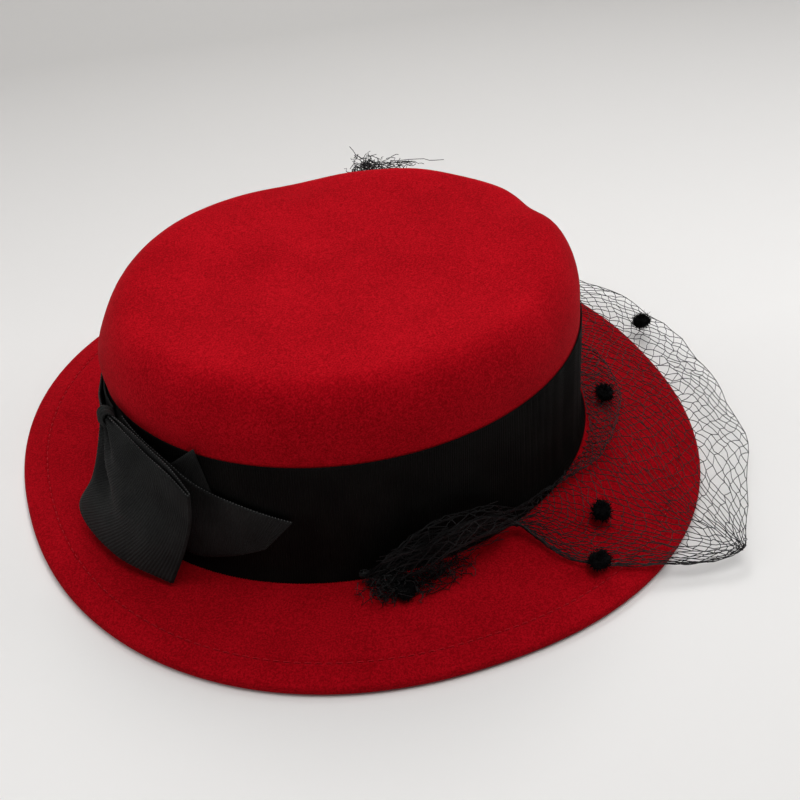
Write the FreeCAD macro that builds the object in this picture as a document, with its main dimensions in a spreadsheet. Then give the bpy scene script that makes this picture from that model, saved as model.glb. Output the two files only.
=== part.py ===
"""Felt hat with a grosgrain band, a ribbon bow and a dotted veil.

Millimetres, +Z up, +X to the front of the hat.  The origin is the centre of the head
opening, in the plane that the brim rests on.  The crown and everything sewn to it are
made upright about the crown's own axis and then placed with the crown's backward lean.
"""
import FreeCAD
import Part
import math
import os

App = FreeCAD
Vector = App.Vector

doc = App.newDocument("felt_hat")
sheet = doc.addObject("Spreadsheet::Sheet", "Sizes")

SIZES = {
    # head opening and crown, as half-lengths of ovals on the outside of the band
    "head_long": 102.0,
    "head_short": 82.0,
    "headline_height": 8.0,
    "crown_lean": 3.1,
    "crown_wall_height": 63.5,
    "crown_top_long": 97.0,
    "crown_top_short": 81.0,
    "corner_inset": 14.5,
    "corner_rise": 24.0,
    "felt": 2.2,
    # brim
    "rim_long": 146.0,
    "rim_short": 136.0,
    "rim_forward": 6.5,
    "rim_sideways": 4.0,
    "rim_squareness": 2.2,
    "rim_depth": 4.8,
    "hem_width": 10.0,
    "hem_rise": 1.6,
    "collar_height": 8.0,
    "collar_felt": 1.2,
    "collar_clear": 0.15,
    "wire_size": 1.2,
    "wire_inset": 2.0,
    "wire_room": 0.15,
    "thread": 0.5,
    "seam_gap": 0.1,
    # ribbons
    "band_width": 57.0,
    "ribbon": 0.6,
    "band_gap": 0.3,
    "head_ribbon_width": 25.0,
    "tail_gap": 0.3,
    "tail_cloth": 0.7,
    "far_loop_depth": 2.4,
    # veil
    "veil_reach": 19.0,
    "veil_clear": 1.4,
    "veil_cloth": 1.0,
    "veil_inset": 8.0,
    "dot_length": 9.0,
    "dot_height": 6.0,
}


def fill_sheet():
    """Write each driving size to the sheet under its own alias."""
    for row, (alias, value) in enumerate(SIZES.items(), start=1):
        sheet.set("A%d" % row, alias.replace("_", " "))
        sheet.set("B%d" % row, str(value))
        sheet.setAlias("B%d" % row, alias)
    doc.recompute()


fill_sheet()
size = {alias: float(sheet.get(alias)) for alias in SIZES}


def lean_placement():
    """Placement of the crown's own frame: up to the headline and tipped backwards."""
    turn = App.Rotation(Vector(0, 1, 0), -size["crown_lean"])
    return App.Placement(Vector(0, 0, size["headline_height"]), turn)


LEAN = lean_placement()


def cell(expression):
    """Turn bare sheet aliases in an expression into references to the sheet."""
    words = expression.replace("(", " ( ").replace(")", " ) ").split()
    return " ".join("Sizes." + word if word in SIZES else word for word in words)


def bind(thing, **expressions):
    """Bind properties of a document object to expressions of sheet aliases."""
    for name, expression in expressions.items():
        thing.setExpression(name.replace("__", "."), cell(expression))
    return thing


# ------------------------------------------------------------------ outlines and shells

def oval(name, long_half, short_half, height):
    """An elliptical outline in a level plane, bound to the sheet."""
    outline = doc.addObject("Part::Ellipse", name)
    bind(outline, MajorRadius=long_half, MinorRadius=short_half, Placement__Base__z=height)
    return outline


def wall_half(end, height):
    """Expression for the band's half-length at a height up the crown wall."""
    lean_in = "(crown_top_%s - head_%s) / crown_wall_height" % (end, end)
    return "head_%s + %s * (%s)" % (end, lean_in, height)


def wall_spot(angle, height, outset):
    """A point at an angle round the band and a height, moved out from the band's outside."""
    share = height / size["crown_wall_height"]
    long_half = size["head_long"] + (size["crown_top_long"] - size["head_long"]) * share
    short_half = size["head_short"] + (size["crown_top_short"] - size["head_short"]) * share
    turn = math.radians(angle)
    normal = Vector(math.cos(turn) / long_half, math.sin(turn) / short_half, 0).normalize()
    return Vector(long_half * math.cos(turn), short_half * math.sin(turn), height) + normal * outset


def headline_oval(name, outset, rise):
    """The oval where brim and crown meet, grown by outset and moved up along the wall by rise."""
    outline = doc.addObject("Part::Ellipse", name)
    outline.Placement = LEAN.multiply(App.Placement(Vector(0, 0, rise), App.Rotation()))
    bind(outline, MajorRadius="%s + %g" % (wall_half("long", "%g" % rise), outset),
         MinorRadius="%s + %g" % (wall_half("short", "%g" % rise), outset))
    return outline


def rim_outline(name, outset, height):
    """The brim's outline, a slightly squared oval, grown by outset."""
    power = 2.0 / size["rim_squareness"]
    points = []
    for step in range(32):
        angle = math.tau * step / 32
        along = math.copysign(abs(math.cos(angle)) ** power, math.cos(angle))
        across = math.copysign(abs(math.sin(angle)) ** power, math.sin(angle))
        points.append(Vector((size["rim_long"] + outset) * along,
                             (size["rim_short"] + outset) * across, 0))
    curve = Part.BSplineCurve()
    curve.interpolate(Points=points, PeriodicFlag=True)
    outline = doc.addObject("Part::Feature", name)
    outline.Shape = Part.Wire(curve.toShape())
    outline.Placement.Base = Vector(size["rim_forward"], size["rim_sideways"], height)
    return outline


def loft(name, sections, ruled=True):
    """A closed solid through the given outlines, straight from one to the next if ruled."""
    solid = doc.addObject("Part::Loft", name)
    solid.Sections = sections
    solid.Solid = True
    solid.Ruled = ruled
    return solid


def cut(name, base, tool):
    """The base with the tool taken away."""
    result = doc.addObject("Part::Cut", name)
    result.Refine = False
    result.Base = base
    result.Tool = tool
    return result


def common(name, base, tool):
    """What base and tool share."""
    result = doc.addObject("Part::Common", name)
    result.Refine = False
    result.Base = base
    result.Tool = tool
    return result


def fuse(name, shapes):
    """Several solids joined into one piece."""
    result = doc.addObject("Part::MultiFuse", name)
    result.Refine = False
    result.Shapes = shapes
    return result


def rim_prism(name, outset, bottom, top):
    """An upright solid inside the brim's outline, from bottom to top."""
    low = rim_outline(name + "_low", outset, bottom)
    high = rim_outline(name + "_high", outset, top)
    return loft(name, [low, high])


def rim_ring(name, outer, inner, bottom, top):
    """A level ring between two outsets of the brim's outline."""
    outside = rim_prism(name + "_outside", outer, bottom, top)
    inside = rim_prism(name + "_inside", inner, bottom - 1, top + 1)
    return cut(name, outside, inside)


def wall_oval(name, outset, height):
    """An oval at a height on the crown wall, outset from the band's outside."""
    long_half = wall_half("long", height) + " + " + outset
    short_half = wall_half("short", height) + " + " + outset
    return oval(name, long_half, short_half, height)


def wall_shell(name, inner, outer, bottom, top):
    """A sleeve round the crown wall between two outsets and two heights."""
    outside = loft(name + "_outside", [wall_oval(name + "_outer_low", outer, bottom),
                                       wall_oval(name + "_outer_high", outer, top)])
    inside = loft(name + "_inside", [wall_oval(name + "_inner_low", inner, bottom + " - 1"),
                                     wall_oval(name + "_inner_high", inner, top + " + 1")])
    return cut(name, outside, inside)


def finish(thing, label, placement=None):
    """Give a finished sub-part its label and place, and note it for export."""
    thing.Label = label
    if placement is not None:
        thing.Placement = placement
    sub_parts.append(thing)
    return thing


sub_parts = []


# ------------------------------------------------------------------ felt crown and brim

CORNER_STEPS = 8


def crown_solid(name, outset, bottom):
    """The crown's outer form, shrunk by outset: straight wall, rounded edge, flat top."""
    sections = [wall_oval(name + "_foot", outset, bottom)]
    for step in range(CORNER_STEPS + 1):
        angle = math.pi / 2 * step / CORNER_STEPS
        halves = ["crown_top_%s - corner_inset * %.5f + %s" % (end, 1 - math.cos(angle), outset)
                  for end in ("long", "short")]
        height = "crown_wall_height + ( corner_rise + %s ) * %.5f" % (outset, math.sin(angle))
        sections.append(oval("%s_edge_%d" % (name, step), halves[0], halves[1], height))
    return loft(name, sections)


def make_crown():
    """Blocked felt crown: an open-bottomed shell of even thickness."""
    outside = crown_solid("crown_outside", "( 0 - ribbon - band_gap )", "seam_gap")
    inside = crown_solid("crown_inside", "( 0 - ribbon - band_gap - felt )", "seam_gap - 2")
    finish(cut("crown_cut", outside, inside), "felt_crown", LEAN)


def sloping_skin(name, rise, reach, foot, edge_drop, headline_outset):
    """Solid under a surface that runs from an edge, over the hem line, to the headline."""
    rim_height = size["rim_depth"] + rise
    sections = [rim_outline(name + "_foot", reach, foot),
                rim_outline(name + "_edge", reach, rim_height - edge_drop)]
    if reach > 0:
        sections.append(rim_outline(name + "_rim", 0.0, rim_height))
    sections += [rim_outline(name + "_hem", -size["hem_width"], rim_height + size["hem_rise"]),
                 headline_oval(name + "_head", headline_outset, rise)]
    return loft(name, sections)


def make_brim():
    """Blocked felt brim, its edge turned under as a hem and its inner edge turned up."""
    crown_face = -size["ribbon"] - size["band_gap"]
    wall = size["felt"] - crown_face + size["collar_clear"]
    upper = sloping_skin("brim_top", 0.0, 0.0, 0.0, 0.0, crown_face)
    lower = sloping_skin("brim_underside", -size["felt"], -size["felt"], -8.0, 0.0, crown_face)
    skin = cut("brim_skin", upper, lower)
    hem = rim_ring("brim_hem", 0.0, -size["hem_width"], 0.0, size["felt"])
    fold = rim_ring("brim_fold", 0.0, -size["hem_width"] / 2, 0.0, size["rim_depth"])
    shelf = loft("brim_shelf", [headline_oval("shelf_low", crown_face, -size["felt"]),
                                headline_oval("shelf_high", crown_face, 0.0)])
    collar = loft("brim_collar", [headline_oval("collar_low", -wall, -size["felt"]),
                                  headline_oval("collar_high", -wall, size["collar_height"])])
    felt = fuse("brim_felt", [skin, hem, fold, shelf, collar])
    inner = -wall - size["collar_felt"]
    bore = loft("brim_bore", [headline_oval("bore_low", inner, -12.0),
                              headline_oval("bore_high", inner, size["collar_height"] + 5)])
    bored = cut("brim_bored", felt, bore)
    room = size["wire_room"]
    tunnel = rim_ring("wire_tunnel", room - size["wire_inset"],
                      -size["wire_inset"] - size["wire_size"] - room,
                      size["felt"] - 0.4 - room, size["felt"] - 0.4 + size["wire_size"] + room)
    finish(cut("brim_cut", bored, tunnel), "felt_brim")


def make_brim_trim():
    """Wire inside the rolled edge, and the line of stitches that closes the hem."""
    low = size["felt"] - 0.4
    finish(rim_ring("wire_ring", -size["wire_inset"], -size["wire_inset"] - size["wire_size"],
                    low, low + size["wire_size"]), "brim_wire")
    hem_top = size["rim_depth"] + size["hem_rise"] + 0.06
    half = size["thread"] / 2
    finish(rim_ring("hem_thread", half - size["hem_width"], -half - size["hem_width"],
                    hem_top, hem_top + size["thread"]), "brim_edge_stitching")


def make_headline_stitches():
    """Stitches that pass through the crown wall and the turned-up edge of the brim."""
    stitches = []
    face = -size["ribbon"] - size["band_gap"]
    height = size["collar_height"] / 2
    depth = size["felt"] + size["collar_felt"] + 0.2
    for step in range(24):
        angle = 360.0 * step / 24
        start = wall_spot(angle, height, face - depth)
        end = wall_spot(angle, height, face)
        stitch = doc.addObject("Part::Cylinder", "headline_stitch_%02d" % step)
        stitch.Placement = App.Placement(start, App.Rotation(Vector(0, 0, 1), end - start))
        bind(stitch, Radius="thread / 2", Height="felt + collar_felt")
        stitches.append(stitch)
    group = doc.addObject("Part::Compound", "headline_stitches")
    group.Links = stitches
    finish(group, "headline_stitching", LEAN)


# ------------------------------------------------------------------ ribbons

def make_ribbons():
    """Wide band outside the crown and a narrow ribbon inside the head opening."""
    finish(wall_shell("band", "( 0 - ribbon )", "0", "0.3", "band_width + 0.3"), "hat_band", LEAN)
    wall = "( 0 - ribbon - band_gap - felt - collar_felt - collar_clear - seam_gap - %s )"
    finish(wall_shell("head_ribbon_sleeve", wall % "ribbon", wall % "0", "0.5",
                      "head_ribbon_width + 0.5"), "head_ribbon", LEAN)


def polygon(name, points):
    """A closed outline with straight sides."""
    outline = doc.addObject("Part::Polygon", name)
    outline.Nodes = points
    outline.Close = True
    return outline


def wall_patch(name, corners, gap, cloth):
    """Ribbon that lies on the band inside the given (angle, height) corners."""
    shell = wall_shell(name + "_sleeve", gap, gap + " + " + cloth, "0 - 4", "75")
    inner = polygon(name + "_inner", [wall_spot(angle, height, -8.0) for angle, height in corners])
    outer = polygon(name + "_outer", [wall_spot(angle, height, 12.0) for angle, height in corners])
    return common(name, shell, loft(name + "_blank", [inner, outer]))


LONG_TAIL = [(-149, 49), (-119.3, 32.6), (-125.9, 18.5), (-149, 7)]
SHORT_TAIL = [(-147, 46), (-140.9, 60.6), (-136.5, 41), (-141, 36)]
FAR_LOOP = [(176, 55), (148, 50), (142, 12), (173, 16)]
NEAR_LOOP = {7.0: [(-90.5, -49.5), (-95, -58.5), (-113, -36), (-120, -8), (-107.5, 4)],
             53.5: [(-83.5, -54.5), (-84.6, -62.5), (-103, -25), (-107, -15), (-103.5, -8)]}
KNOT = {55.0: [(-103.2, -24), (-109.5, -20), (-110.5, -7), (-104.2, -6)],
        64.0: [(-102.4, -22), (-107.5, -19), (-108.5, -9), (-103.6, -8)]}


def level_loft(name, levels):
    """A closed solid through straight-sided outlines, each at its own height."""
    outlines = []
    for height, corners in levels.items():
        points = [Vector(along, across, height) for along, across in corners]
        outlines.append(polygon("%s_%d" % (name, height), points))
    return loft(name, outlines)


def make_bow():
    """A bow behind the hat: a hanging loop, a flat loop, the knot between and two cut tails."""
    finish(wall_patch("long_tail", LONG_TAIL, "tail_gap + tail_cloth + tail_gap", "tail_cloth"),
           "bow_tail_long", LEAN)
    finish(wall_patch("short_tail", SHORT_TAIL, "tail_gap", "tail_cloth"), "bow_tail_short", LEAN)
    finish(wall_patch("far_loop", FAR_LOOP, "tail_gap", "far_loop_depth"), "bow_loop_far", LEAN)
    finish(level_loft("near_loop", NEAR_LOOP), "bow_loop_near")
    finish(level_loft("knot", KNOT), "bow_knot")


# ------------------------------------------------------------------ veil

VEIL_FOOTPRINT = [(36, -84), (50, -98), (62, -106.5), (91, -119), (118, -122), (190, -122),
                  (190, 40), (168, 47), (150, 62), (62, 108), (36, 108)]


def veil_footprint():
    """Upright block over the part of the brim that the veil covers, from a sketch."""
    body = doc.addObject("PartDesign::Body", "veil_footprint")
    level = next(plane for plane in body.Origin.OriginFeatures if plane.Role == "XY_Plane")
    sketch = body.newObject("Sketcher::SketchObject", "veil_footprint_sketch")
    sketch.AttachmentSupport = (level, [""])
    sketch.MapMode = "FlatFace"
    count = len(VEIL_FOOTPRINT)
    for step in range(count):
        start = Vector(*VEIL_FOOTPRINT[step], 0)
        end = Vector(*VEIL_FOOTPRINT[(step + 1) % count], 0)
        sketch.addGeometry(Part.LineSegment(start, end), False)
    doc.recompute()
    pad = body.newObject("PartDesign::Pad", "veil_footprint_pad")
    pad.Profile = sketch
    pad.Length = 60
    body.Tip = pad
    doc.recompute()
    return body


def make_veil():
    """The spread part of the veil: a thin sheet over the front of the brim."""
    reach = size["veil_reach"]
    thickness = size["veil_cloth"]
    top = sloping_skin("veil_top", size["veil_clear"] + thickness, reach, -4.0, 0.6, 0.0)
    under = sloping_skin("veil_under", size["veil_clear"], reach + 3.0, -8.0, 0.6, 0.0)
    head = loft("veil_head_room", [headline_oval("veil_head_low", size["veil_inset"], -20.0),
                                   headline_oval("veil_head_high", size["veil_inset"], 40.0)])
    covered = common("veil_covered", top, veil_footprint())
    layer = cut("veil_layer", covered, under)
    finish(cut("veil_spread", layer, head), "veil_net")


def bundle(name, label, axis, stations):
    """A gathered bunch of net: ovals (along, side, height, half width, half height)."""
    sections = []
    for step, (centre, half_wide, half_high) in enumerate(stations):
        outline = doc.addObject("Part::Ellipse", "%s_%d" % (name, step))
        outline.MajorRadius = max(half_wide, half_high)
        outline.MinorRadius = min(half_wide, half_high)
        turn = App.Rotation()
        if axis == "x":
            turn = App.Rotation(Vector(0, 1, 0), 90)
        outline.Placement = App.Placement(Vector(*centre), turn)
        sections.append(outline)
    finish(loft(name, sections, ruled=False), label)


def make_gathers():
    """The bunched ends of the veil on each side of the crown and the tacks that hold them."""
    bundle("near_gather", "veil_gather_near", "x",
           [((-22, -89.5, 17.5), 4.0, 3.0), ((-8, -91, 26), 8.0, 5.5), ((8, -91, 31), 8.5, 6.0),
            ((22, -88, 27), 7.0, 5.5), ((34, -86, 20), 4.5, 4.0)])
    bundle("far_gather", "veil_gather_far", "z",
           [((50, 98, 15.5), 14.0, 6.0), ((47, 98, 38), 11.0, 6.0), ((45, 98, 62), 10.0, 5.5),
            ((43, 98, 81), 7.0, 4.0)])
    for label, spot in (("veil_tack_near", (-27.5, -83.8, 12.5)), ("veil_tack_far", (25, 83.5, 14.5))):
        tack = doc.addObject("Part::Ellipsoid", label + "_knot")
        tack.Radius1 = 2.5
        tack.Radius2 = 3.2
        tack.Radius3 = 2.4
        finish(tack, label, App.Placement(Vector(*spot), App.Rotation()))


DOTS = [(159.5, 22.5, 10.2), (108.5, -27.0, 17.4), (72.2, -88.0, 14.2), (59.0, -109.5, 12.6),
        (-15.0, -94.5, 10.6), (104.0, 62.0, 15.0), (76.0, 88.0, 15.0), (50.0, 107.5, 52.0)]


def make_dots():
    """Chenille dots caught in the net."""
    for number, spot in enumerate(DOTS, start=1):
        dot = doc.addObject("Part::Ellipsoid", "dot_%d" % number)
        bind(dot, Radius1="dot_height / 2", Radius2="dot_length / 2", Radius3="dot_length * 0.4")
        finish(dot, "chenille_dot_%d" % number, App.Placement(Vector(*spot), App.Rotation()))


if __name__ == "__main__":
    make_crown()
    make_brim()
    make_brim_trim()
    make_headline_stitches()
    make_ribbons()
    make_bow()
    make_veil()
    make_gathers()
    make_dots()
    doc.recompute()
    os.makedirs("parts", exist_ok=True)
    for thing in doc.Objects:
        if "Invalid" in thing.State or "Error" in thing.State:
            raise SystemExit("%s failed" % thing.Name)
    for thing in sub_parts:
        shape = thing.Shape
        if shape.isNull() or not shape.isValid():
            raise SystemExit("%s has no valid shape" % thing.Label)
        print(thing.Label, round(shape.Volume), len(shape.Solids))
        shape.exportStep("parts/%s.step" % thing.Label)
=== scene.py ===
"""Looks of a veiled felt hat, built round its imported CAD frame. Metres, +Z up, +X the front."""

import math

import bmesh
import bpy
import numpy as np
from mathutils import Matrix, Vector


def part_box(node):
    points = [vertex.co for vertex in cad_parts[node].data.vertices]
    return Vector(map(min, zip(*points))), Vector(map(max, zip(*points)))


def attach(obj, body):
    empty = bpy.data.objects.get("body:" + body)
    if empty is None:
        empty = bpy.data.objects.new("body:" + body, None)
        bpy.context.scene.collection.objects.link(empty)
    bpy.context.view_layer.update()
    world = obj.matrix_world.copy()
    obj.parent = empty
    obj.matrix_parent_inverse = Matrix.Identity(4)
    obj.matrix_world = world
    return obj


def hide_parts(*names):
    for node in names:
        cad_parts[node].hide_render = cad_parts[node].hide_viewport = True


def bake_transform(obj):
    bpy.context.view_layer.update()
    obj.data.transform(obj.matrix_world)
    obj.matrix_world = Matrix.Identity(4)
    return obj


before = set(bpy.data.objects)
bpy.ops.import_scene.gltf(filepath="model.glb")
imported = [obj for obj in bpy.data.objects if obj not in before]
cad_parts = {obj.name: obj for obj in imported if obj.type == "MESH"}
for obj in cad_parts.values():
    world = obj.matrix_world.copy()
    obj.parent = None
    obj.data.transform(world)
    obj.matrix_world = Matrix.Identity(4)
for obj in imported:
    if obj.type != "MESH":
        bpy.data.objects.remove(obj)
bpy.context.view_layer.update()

MM = 0.001
rng = np.random.default_rng(20)

# Driving sizes, in millimetres, as in the CAD model.
HEAD_LONG, HEAD_SHORT = 102.0, 82.0          # band's oval at the headline
TOP_LONG, TOP_SHORT = 97.0, 81.0             # oval at the top of the straight wall
WALL_HEIGHT = 63.5
CORNER_INSET, CORNER_RISE = 14.5, 24.0
HEADLINE = 8.0
LEAN = math.radians(3.1)
FELT = 2.2
RIM_POWER = 2.2
RIM_DEPTH = 4.8
HEM_WIDTH, HEM_RISE = 10.0, 1.6
HEM_SHARE = 0.8                              # where the hem's stitching lies across the brim
GROOVE_WIDTH, GROOVE_DEPTH = 0.016, 0.7      # its width as a share of the brim, its depth
BAND_WIDTH, BAND_RUN = 57.0, 578.0
BAND_FOOT, BAND_FLARE = 0.3, 2.6             # the band's lower edge: its height and its flare
FLARE_FADE = 5.0                             # how far up the band the flare reaches
RIBBON = 0.6
BAND_GAP = 0.3
RIB_PITCH = 0.95
RIB_DEPTH = 0.21
COLLAR, COLLAR_CLEAR, SEAM_GAP = 1.2, 0.15, 0.1
HEAD_RIBBON_WIDTH = 25.0
BOW_SHEET = 0.5                              # cloth of the bow's loops
STITCH_SHARE = 0.62                          # how much of the pitch a stitch covers


def rim_from_frame():
    """The brim's centre and half-lengths, in millimetres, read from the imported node."""
    low, high = (np.array(corner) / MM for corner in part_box("felt_brim"))
    return (low[:2] + high[:2]) / 2, (high[:2] - low[:2]) / 2


RIM_CENTRE, RIM_HALF = rim_from_frame()


# ------------------------------------------------------------------ geometry helpers

def crown_to_row(points):
    """Points in the crown's upright frame, in the row frame: tipped back and lifted."""
    points = np.asarray(points, float)
    c, s = math.cos(LEAN), math.sin(LEAN)
    out = points.copy()
    out[..., 0] = points[..., 0] * c - points[..., 2] * s
    out[..., 2] = points[..., 0] * s + points[..., 2] * c + HEADLINE
    return out


def wall_halves(height):
    """Half-lengths of the band's oval at a height up the crown wall."""
    share = np.asarray(height, float) / WALL_HEIGHT
    return HEAD_LONG + (TOP_LONG - HEAD_LONG) * share, HEAD_SHORT + (TOP_SHORT - HEAD_SHORT) * share


def wall_point(angle, height, outset):
    """A point on the crown wall at an ellipse angle and height, moved out along the normal."""
    a, b = wall_halves(height)
    c, s = np.cos(angle), np.sin(angle)
    nx, ny = c / a, s / b
    size = np.hypot(nx, ny)
    return np.stack([a * c + outset * nx / size, b * s + outset * ny / size,
                     np.broadcast_to(height, np.shape(angle * height))], -1)


def rim_point(angle, outset=0.0):
    """A point on the brim's outline, a slightly squared oval, grown by outset."""
    c, s = np.cos(angle), np.sin(angle)
    x = RIM_CENTRE[0] + (RIM_HALF[0] + outset) * np.sign(c) * np.abs(c) ** (2 / RIM_POWER)
    y = RIM_CENTRE[1] + (RIM_HALF[1] + outset) * np.sign(s) * np.abs(s) ** (2 / RIM_POWER)
    return np.stack([x, y], -1)


def new_object(name, vertices, faces, smooth=True):
    """A mesh object from points in millimetres."""
    mesh = bpy.data.meshes.new(name)
    mesh.from_pydata([tuple(p) for p in (np.asarray(vertices) * MM).tolist()], [], faces)
    mesh.update()
    work = bmesh.new()
    work.from_mesh(mesh)
    bmesh.ops.recalc_face_normals(work, faces=work.faces)
    work.to_mesh(mesh)
    work.free()
    if smooth:
        mesh.polygons.foreach_set("use_smooth", [True] * len(mesh.polygons))
    thing = bpy.data.objects.new(name, mesh)
    bpy.context.scene.collection.objects.link(thing)
    return thing


def grid_faces(rows, columns, wrap_rows=False, wrap_columns=False, start=0):
    """Quads over a grid of points stored row by row."""
    faces = []
    for i in range(rows if wrap_rows else rows - 1):
        for j in range(columns if wrap_columns else columns - 1):
            i2, j2 = (i + 1) % rows, (j + 1) % columns
            faces.append((start + i * columns + j, start + i2 * columns + j,
                          start + i2 * columns + j2, start + i * columns + j2))
    return faces


def ring_mesh(name, points):
    """A closed skin from a grid whose rows and columns both join up."""
    rows, columns = points.shape[:2]
    return new_object(name, points.reshape(-1, 3), grid_faces(rows, columns, True, True))


def sheet_mesh(name, points, thickness):
    """A closed thin solid: a grid of points given a thickness to both sides."""
    du = np.gradient(points, axis=0)
    dv = np.gradient(points, axis=1)
    normal = np.cross(du, dv)
    normal /= np.linalg.norm(normal, axis=2, keepdims=True) + 1e-12
    rows, columns = points.shape[:2]
    both = np.concatenate([(points + normal * thickness / 2).reshape(-1, 3),
                           (points - normal * thickness / 2).reshape(-1, 3)])
    count = rows * columns
    faces = [face[::-1] for face in grid_faces(rows, columns)]
    faces += grid_faces(rows, columns, start=count)
    border = [(i, 0) for i in range(rows)] + [(rows - 1, j) for j in range(1, columns)]
    border += [(i, columns - 1) for i in range(rows - 2, -1, -1)]
    border += [(0, j) for j in range(columns - 2, 0, -1)]
    for step, (i, j) in enumerate(border):
        i2, j2 = border[(step + 1) % len(border)]
        a, b = i * columns + j, i2 * columns + j2
        faces.append((a, b, b + count, a + count))
    return new_object(name, both, faces)


def smooth_step(x, low, high):
    """0 below low, 1 above high and a smooth turn between them."""
    t = np.clip((np.asarray(x, float) - low) / (high - low), 0, 1)
    return t * t * (3 - 2 * t)


# ------------------------------------------------------------------ materials

def material(name, colour, roughness):
    """A material with its shader and output, and a tool that adds nodes to it."""
    mat = bpy.data.materials.new(name)
    mat.use_nodes = True
    nodes, links = mat.node_tree.nodes, mat.node_tree.links
    shader = nodes["Principled BSDF"]
    shader.inputs["Base Color"].default_value = (*colour, 1)
    shader.inputs["Roughness"].default_value = roughness
    return mat, nodes, links, shader


def noise(nodes, links, source, scale, detail=4.0, rough=0.5):
    """A noise texture read in object space."""
    tex = nodes.new("ShaderNodeTexNoise")
    tex.inputs["Scale"].default_value = scale
    tex.inputs["Detail"].default_value = detail
    tex.inputs["Roughness"].default_value = rough
    links.new(source.outputs["Object"], tex.inputs["Vector"])
    return tex


def ramp(nodes, links, source, stops):
    """A colour ramp over a value."""
    node = nodes.new("ShaderNodeValToRGB")
    elements = node.color_ramp.elements
    while len(elements) < len(stops):
        elements.new(0.5)
    for element, (place, colour) in zip(elements, stops):
        element.position = place
        element.color = (*colour, 1)
    links.new(source, node.inputs["Fac"])
    return node


def bump(nodes, links, height, strength, distance, below=None):
    """A bump node over a height, stacked on another bump."""
    node = nodes.new("ShaderNodeBump")
    node.inputs["Strength"].default_value = strength
    node.inputs["Distance"].default_value = distance
    links.new(height, node.inputs["Height"])
    if below is not None:
        links.new(below.outputs["Normal"], node.inputs["Normal"])
    return node


def felt_material(name, stops):
    """Red wool felt: fine matted fibres in mixed reds, with a soft fuzz at grazing angles."""
    mat, nodes, links, shader = material(name, stops[1], 0.97)
    place = nodes.new("ShaderNodeTexCoord")
    broad = noise(nodes, links, place, 45, 3, 0.5)
    fleck = noise(nodes, links, place, 1450, 3, 0.75)
    tuft = noise(nodes, links, place, 520, 3, 0.6)
    total = None
    for source, share in ((broad, 0.14), (fleck, 0.76), (tuft, 0.10)):
        part = nodes.new("ShaderNodeMath")
        part.operation = "MULTIPLY_ADD"
        part.inputs[1].default_value = share
        part.inputs[2].default_value = 0.0
        links.new(source.outputs["Fac"], part.inputs[0])
        if total is not None:
            links.new(total.outputs[0], part.inputs[2])
        total = part
    tone = ramp(nodes, links, total.outputs[0], list(zip((0.41, 0.50, 0.59), stops)))
    links.new(tone.outputs["Color"], shader.inputs["Base Color"])
    shader.inputs["Sheen Weight"].default_value = 0.07
    shader.inputs["Sheen Roughness"].default_value = 0.5
    shader.inputs["Sheen Tint"].default_value = (1.0, 0.10, 0.12, 1)
    shader.inputs["Specular IOR Level"].default_value = 0.04
    first = bump(nodes, links, tuft.outputs["Fac"], 0.25, 0.0003)
    second = bump(nodes, links, fleck.outputs["Fac"], 0.55, 0.00025, first)
    links.new(second.outputs["Normal"], shader.inputs["Normal"])
    return mat


def cloth_material(name, dark, light, roughness, sheen, gloss=0.12, scale=1500):
    """Ribbon or thread: faint tone changes and yarn-scale bumps."""
    mat, nodes, links, shader = material(name, dark, roughness)
    place = nodes.new("ShaderNodeTexCoord")
    yarn = noise(nodes, links, place, scale, 3, 0.6)
    broad = noise(nodes, links, place, 60, 2, 0.5)
    mix = nodes.new("ShaderNodeMath")
    mix.operation = "MULTIPLY"
    links.new(yarn.outputs["Fac"], mix.inputs[0])
    links.new(broad.outputs["Fac"], mix.inputs[1])
    tone = ramp(nodes, links, mix.outputs[0], [(0.12, dark), (0.42, light)])
    links.new(tone.outputs["Color"], shader.inputs["Base Color"])
    shader.inputs["Sheen Weight"].default_value = sheen
    shader.inputs["Sheen Roughness"].default_value = 0.35
    shader.inputs["Specular IOR Level"].default_value = gloss
    links.new(bump(nodes, links, yarn.outputs["Fac"], 0.4, 0.0002).outputs["Normal"],
              shader.inputs["Normal"])
    return mat


def steel_material():
    """Drawn steel wire with fine marks."""
    mat, nodes, links, shader = material("drawn_steel", (0.42, 0.42, 0.43), 0.35)
    place = nodes.new("ShaderNodeTexCoord")
    marks = noise(nodes, links, place, 900, 3, 0.6)
    tone = ramp(nodes, links, marks.outputs["Fac"], [(0.3, (0.30, 0.30, 0.31)), (0.7, (0.52, 0.52, 0.53))])
    links.new(tone.outputs["Color"], shader.inputs["Base Color"])
    shader.inputs["Metallic"].default_value = 1.0
    links.new(bump(nodes, links, marks.outputs["Fac"], 0.2, 0.0001).outputs["Normal"],
              shader.inputs["Normal"])
    return mat


CROWN_FELT = felt_material("red_crown_felt", ((0.235, 0.0006, 0.0032), (0.335, 0.0011, 0.0054),
                                              (0.450, 0.0032, 0.0096)))
# The brim's felt is the crown's felt made darker: painted shade for the shade that falls on the brim around
# the crown.
BRIM_FELT_PAINTED_SHADE = felt_material("red_brim_felt_painted_shade", ((0.195, 0.0004, 0.0028), (0.280, 0.0009, 0.0046),
                                            (0.375, 0.0025, 0.0080)))
GROSGRAIN = cloth_material("black_grosgrain_cloth", (0.0016, 0.0015, 0.0013),
                           (0.0058, 0.0055, 0.0050), 0.6, 0.01, 0.05)
BOW_RIBBON = cloth_material("black_bow_ribbon", (0.0110, 0.0112, 0.0110),
                            (0.0250, 0.0255, 0.0250), 0.75, 0.02, 0.06)
SELVEDGE = cloth_material("selvedge_loops", (0.07, 0.07, 0.07), (0.18, 0.18, 0.18), 0.6, 0.1)
NET_THREAD = cloth_material("net_thread", (0.0028, 0.0028, 0.003), (0.0085, 0.0080, 0.0085), 0.5, 0.0, 0.18)
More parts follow.
